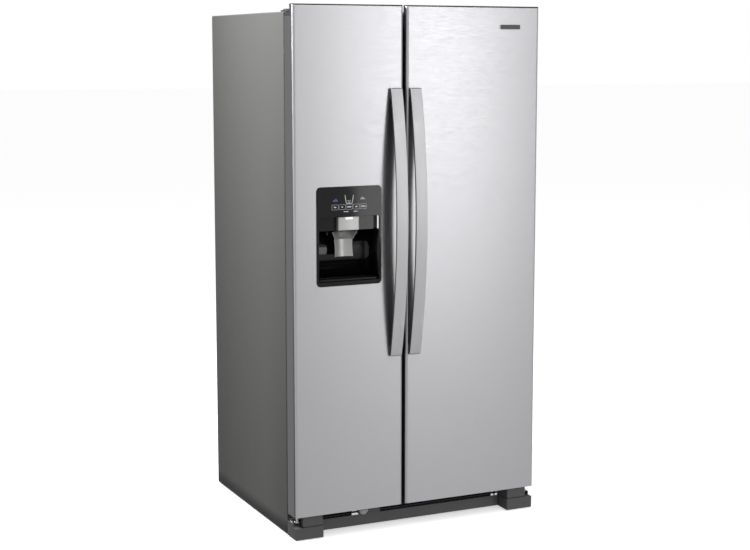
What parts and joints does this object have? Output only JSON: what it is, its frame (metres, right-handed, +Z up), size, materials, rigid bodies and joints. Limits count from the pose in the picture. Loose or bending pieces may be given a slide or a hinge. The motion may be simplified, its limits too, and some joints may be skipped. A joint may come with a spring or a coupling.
{
  "type": "side by side refrigerator",
  "caption": "Tall two-door refrigerator: narrow freezer door with ice and water dispenser, wide fresh food door, bowed handles, grey cabinet on levelling legs and rollers.",
  "frame": {"origin": "on the floor, in the middle of the overall width and depth", "axes": "+Z up, +X to the right seen from the front, -Y towards the user"},
  "size_m": [0.911, 0.837, 1.766],
  "materials": {
    "cabinet_paint": "fine textured grey enamel",
    "zinc_steel": "zinc plated",
    "insulation_foam": "rigid polyurethane foam",
    "white_plastic": "satin moulded",
    "dark_plastic": "satin moulded",
    "charcoal_plastic": "fine moulded grain",
    "roller_nylon": "matt",
    "filter_grey": "satin",
    "compressor_black": "semi-gloss black enamel",
    "bare_aluminium": "mill finish",
    "cover_board": "matt fibreboard",
    "clear_plastic": "clear, slightly blue",
    "shelf_glass": "clear tempered",
    "door_steel": "horizontally brushed stainless",
    "handle_steel": "brushed stainless",
    "gasket_grey": "soft matt",
    "gloss_black": "high gloss",
    "silver_plastic": "metallic silver, satin"
  },
  "bodies": {
    "cabinet": {"cabinet_wrapper": "cabinet_paint", "cabinet_back": "cabinet_paint", "base_deck": "zinc_steel", "cabinet_foam": "insulation_foam", "freezer_liner": "white_plastic", "fridge_liner": "white_plastic", "top_hinge_left": "zinc_steel", "top_hinge_right": "zinc_steel", "top_hinge_cover_left": "dark_plastic", "top_hinge_cover_right": "dark_plastic", "bottom_hinge_left": "zinc_steel", "bottom_hinge_right": "zinc_steel", "foot_cover_left": "charcoal_plastic", "foot_cover_right": "charcoal_plastic", "base_grille": "charcoal_plastic", "compressor": "compressor_black", "condenser_coil": "bare_aluminium", "machine_cover": "cover_board", "evaporator_cover": "white_plastic", "icemaker": "white_plastic", "ice_bin": "clear_plastic", "freezer_shelf_lower": "shelf_glass", "freezer_shelf_upper": "shelf_glass", "fridge_shelf_lower": "shelf_glass", "fridge_shelf_upper": "shelf_glass", "crisper_shelf": "shelf_glass"},
    "freezer_door": {"freezer_door_skin": "door_steel", "freezer_door_foam": "insulation_foam", "freezer_door_liner": "white_plastic", "freezer_door_gasket": "gasket_grey", "freezer_door_cap_top": "dark_plastic", "freezer_door_cap_bottom": "dark_plastic", "freezer_handle": "handle_steel", "dispenser_fascia": "gloss_black", "dispenser_housing": "gloss_black", "ice_chute": "silver_plastic", "drip_tray": "dark_plastic", "freezer_door_bin": "clear_plastic"},
    "fridge_door": {"fridge_door_skin": "door_steel", "fridge_door_foam": "insulation_foam", "fridge_door_liner": "white_plastic", "fridge_door_gasket": "gasket_grey", "fridge_door_cap_top": "dark_plastic", "fridge_door_cap_bottom": "dark_plastic", "fridge_handle": "handle_steel", "fridge_door_bin": "clear_plastic", "dairy_box": "clear_plastic"},
    "dispenser_paddle": {"dispenser_paddle": "silver_plastic"},
    "dairy_lid": {"dairy_lid": "clear_plastic"},
    "freezer_basket": {"freezer_basket": "clear_plastic"},
    "crisper_lower": {"crisper_lower": "clear_plastic"},
    "crisper_upper": {"crisper_upper": "clear_plastic"},
    "ice_auger": {"ice_auger": "bare_aluminium"},
    "condenser_fan": {"condenser_fan": "dark_plastic"},
    "evaporator_fan": {"evaporator_fan": "dark_plastic"},
    "water_filter": {"water_filter": "filter_grey"},
    "levelling_leg_left": {"levelling_leg_left": "zinc_steel"},
    "levelling_leg_right": {"levelling_leg_right": "zinc_steel"},
    "rear_roller_left": {"rear_roller_left": "roller_nylon"},
    "rear_roller_right": {"rear_roller_right": "roller_nylon"}
  },
  "joints": [
    {"name": "freezer_door_hinge", "type": "hinge", "parent": "cabinet", "child": "freezer_door", "pos_m": [-0.4355, -0.3195, 0.9], "axis": [0, 0, -1], "range_deg": [0, 120]},
    {"name": "fridge_door_hinge", "type": "hinge", "parent": "cabinet", "child": "fridge_door", "pos_m": [0.4355, -0.3195, 0.9], "axis": [0, 0, 1], "range_deg": [0, 120]},
    {"name": "dispenser_paddle_hinge", "type": "hinge", "parent": "freezer_door", "child": "dispenser_paddle", "pos_m": [-0.2585, -0.2885, 1.02], "axis": [1, 0, 0], "range_deg": [0, 12], "stiffness_Nm_per_rad": 0.6},
    {"name": "dairy_lid_hinge", "type": "hinge", "parent": "fridge_door", "child": "dairy_lid", "pos_m": [0.1885, -0.194, 1.599], "axis": [1, 0, 0], "range_deg": [0, 90]},
    {"name": "freezer_basket_slide", "type": "slide", "parent": "cabinet", "child": "freezer_basket", "axis": [0, -1, 0], "range_m": [0, 0.09]},
    {"name": "crisper_lower_slide", "type": "slide", "parent": "cabinet", "child": "crisper_lower", "axis": [0, -1, 0], "range_m": [0, 0.09]},
    {"name": "crisper_upper_slide", "type": "slide", "parent": "cabinet", "child": "crisper_upper", "axis": [0, -1, 0], "range_m": [0, 0.09]},
    {"name": "water_filter_slide", "type": "slide", "parent": "cabinet", "child": "water_filter", "axis": [0, -1, 0], "range_m": [0, 0.2]},
    {"name": "screw_levelling_leg_left", "type": "slide", "parent": "cabinet", "child": "levelling_leg_left", "axis": [0, 0, 1], "range_m": [-0.012, 0]},
    {"name": "screw_levelling_leg_right", "type": "slide", "parent": "cabinet", "child": "levelling_leg_right", "axis": [0, 0, 1], "range_m": [-0.012, 0]},
    {"name": "turn_rear_roller_left", "type": "hinge", "parent": "cabinet", "child": "rear_roller_left", "pos_m": [-0.428, 0.355, 0.022], "axis": [1, 0, 0], "continuous": true},
    {"name": "turn_rear_roller_right", "type": "hinge", "parent": "cabinet", "child": "rear_roller_right", "pos_m": [0.428, 0.355, 0.022], "axis": [1, 0, 0], "continuous": true},
    {"name": "spin_condenser_fan", "type": "hinge", "parent": "cabinet", "child": "condenser_fan", "pos_m": [-0.055, 0.3, 0.12], "axis": [1, 0, 0], "continuous": true},
    {"name": "spin_evaporator_fan", "type": "hinge", "parent": "cabinet", "child": "evaporator_fan", "pos_m": [-0.2445, 0.284, 1.18], "axis": [0, 1, 0], "continuous": true},
    {"name": "spin_ice_auger", "type": "hinge", "parent": "cabinet", "child": "ice_auger", "pos_m": [-0.2585, 0, 1.362], "axis": [0, 1, 0], "continuous": true}
  ]
}
